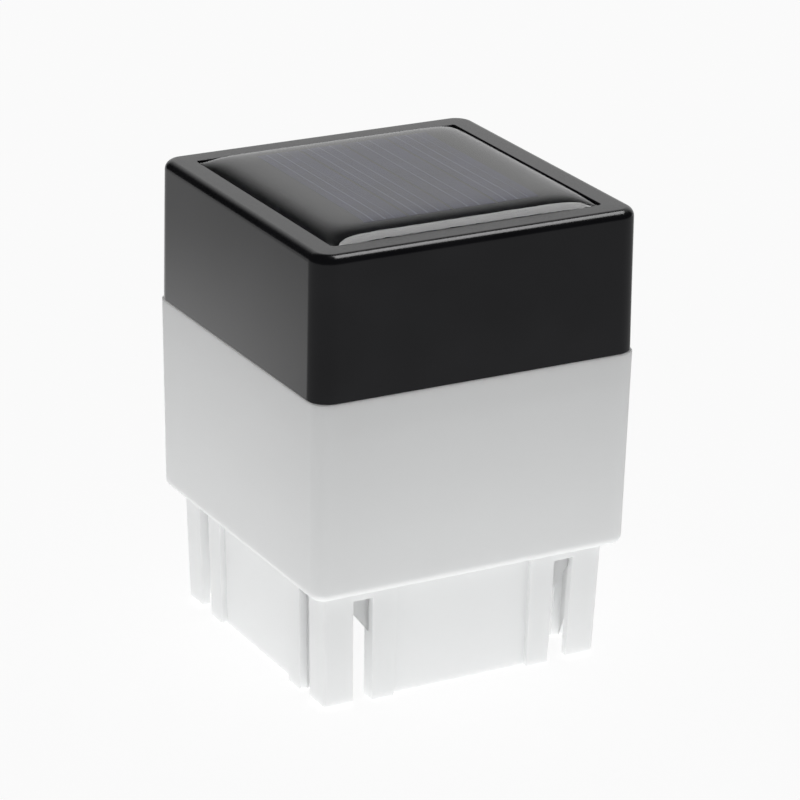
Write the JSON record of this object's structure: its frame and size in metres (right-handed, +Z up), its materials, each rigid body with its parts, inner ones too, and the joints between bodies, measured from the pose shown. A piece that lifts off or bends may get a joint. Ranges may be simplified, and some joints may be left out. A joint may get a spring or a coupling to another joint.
{
  "type": "deck post cap light",
  "caption": "Square solar post cap light: dark cap with a resin-domed panel, frosted translucent body, and a slotted square plug that pushes into a tubular post.",
  "frame": {"origin": "centre of the plug's foot, at the lowest face of the part", "axes": "+Z up through the plug, the body and the cap; +X and +Y along the sides of the square; the battery lies along X in front (-Y) and the circuit board behind (+Y)"},
  "size_m": [0.06, 0.06, 0.0822],
  "materials": {
    "frosted_plastic": "frosted, translucent white",
    "black_abs": "satin moulded",
    "foam_tape": "matt foam",
    "panel_laminate": "satin laminate",
    "silicon_cell": "dark blue silicon",
    "tinned_ribbon": "tinned",
    "clear_resin": "clear gloss",
    "zinc_steel": "zinc plated",
    "board_laminate": "solder mask",
    "chip_resin": "matt moulded",
    "green_lacquer": "lacquered",
    "lamp_resin": "water clear",
    "tinned_wire": "tinned",
    "black_nylon": "satin moulded",
    "nickel_steel": "nickel plated",
    "red_insulation": "satin insulation",
    "black_insulation": "satin insulation",
    "battery_can": "bright",
    "battery_sleeve": "printed film"
  },
  "bodies": {
    "diffuser": {"diffuser": "frosted_plastic"},
    "cap": {"cap_housing": "black_abs", "panel_tape": "foam_tape", "panel_board": "panel_laminate", "solar_cells": "silicon_cell", "cell_ribbons": "tinned_ribbon", "panel_resin": "clear_resin", "base_tray": "black_abs", "tray_screws": "zinc_steel", "circuit_board": "board_laminate", "board_screws": "zinc_steel", "controller_chip": "chip_resin", "choke_coil": "green_lacquer", "lamps": "lamp_resin", "lamp_legs": "tinned_wire", "switch_can": "zinc_steel", "contact_plate": "nickel_steel", "contact_spring": "nickel_steel", "spring_coil": "nickel_steel", "red_leads": "red_insulation", "black_leads": "black_insulation"},
    "switch_knob": {"switch_knob": "black_nylon"},
    "battery_door": {"battery_door": "black_abs"},
    "battery": {"battery_can": "battery_can", "battery_sleeve": "battery_sleeve"}
  },
  "joints": [
    {"name": "cap_lift", "type": "slide", "parent": "diffuser", "child": "cap", "axis": [0, 0, 1], "range_m": [0, 0.03]},
    {"name": "switch_slide", "type": "slide", "parent": "cap", "child": "switch_knob", "axis": [1, 0, 0], "range_m": [0, 0.002]},
    {"name": "door_lift", "type": "slide", "parent": "cap", "child": "battery_door", "axis": [0, 0, -1], "range_m": [0, 0.025]},
    {"name": "battery_lift", "type": "slide", "parent": "cap", "child": "battery", "axis": [0, 0, -1], "range_m": [0, 0.013]}
  ],
  "couplings": [
    {"joint": "battery_lift", "follows": "door_lift", "ratio": 0.52}
  ]
}
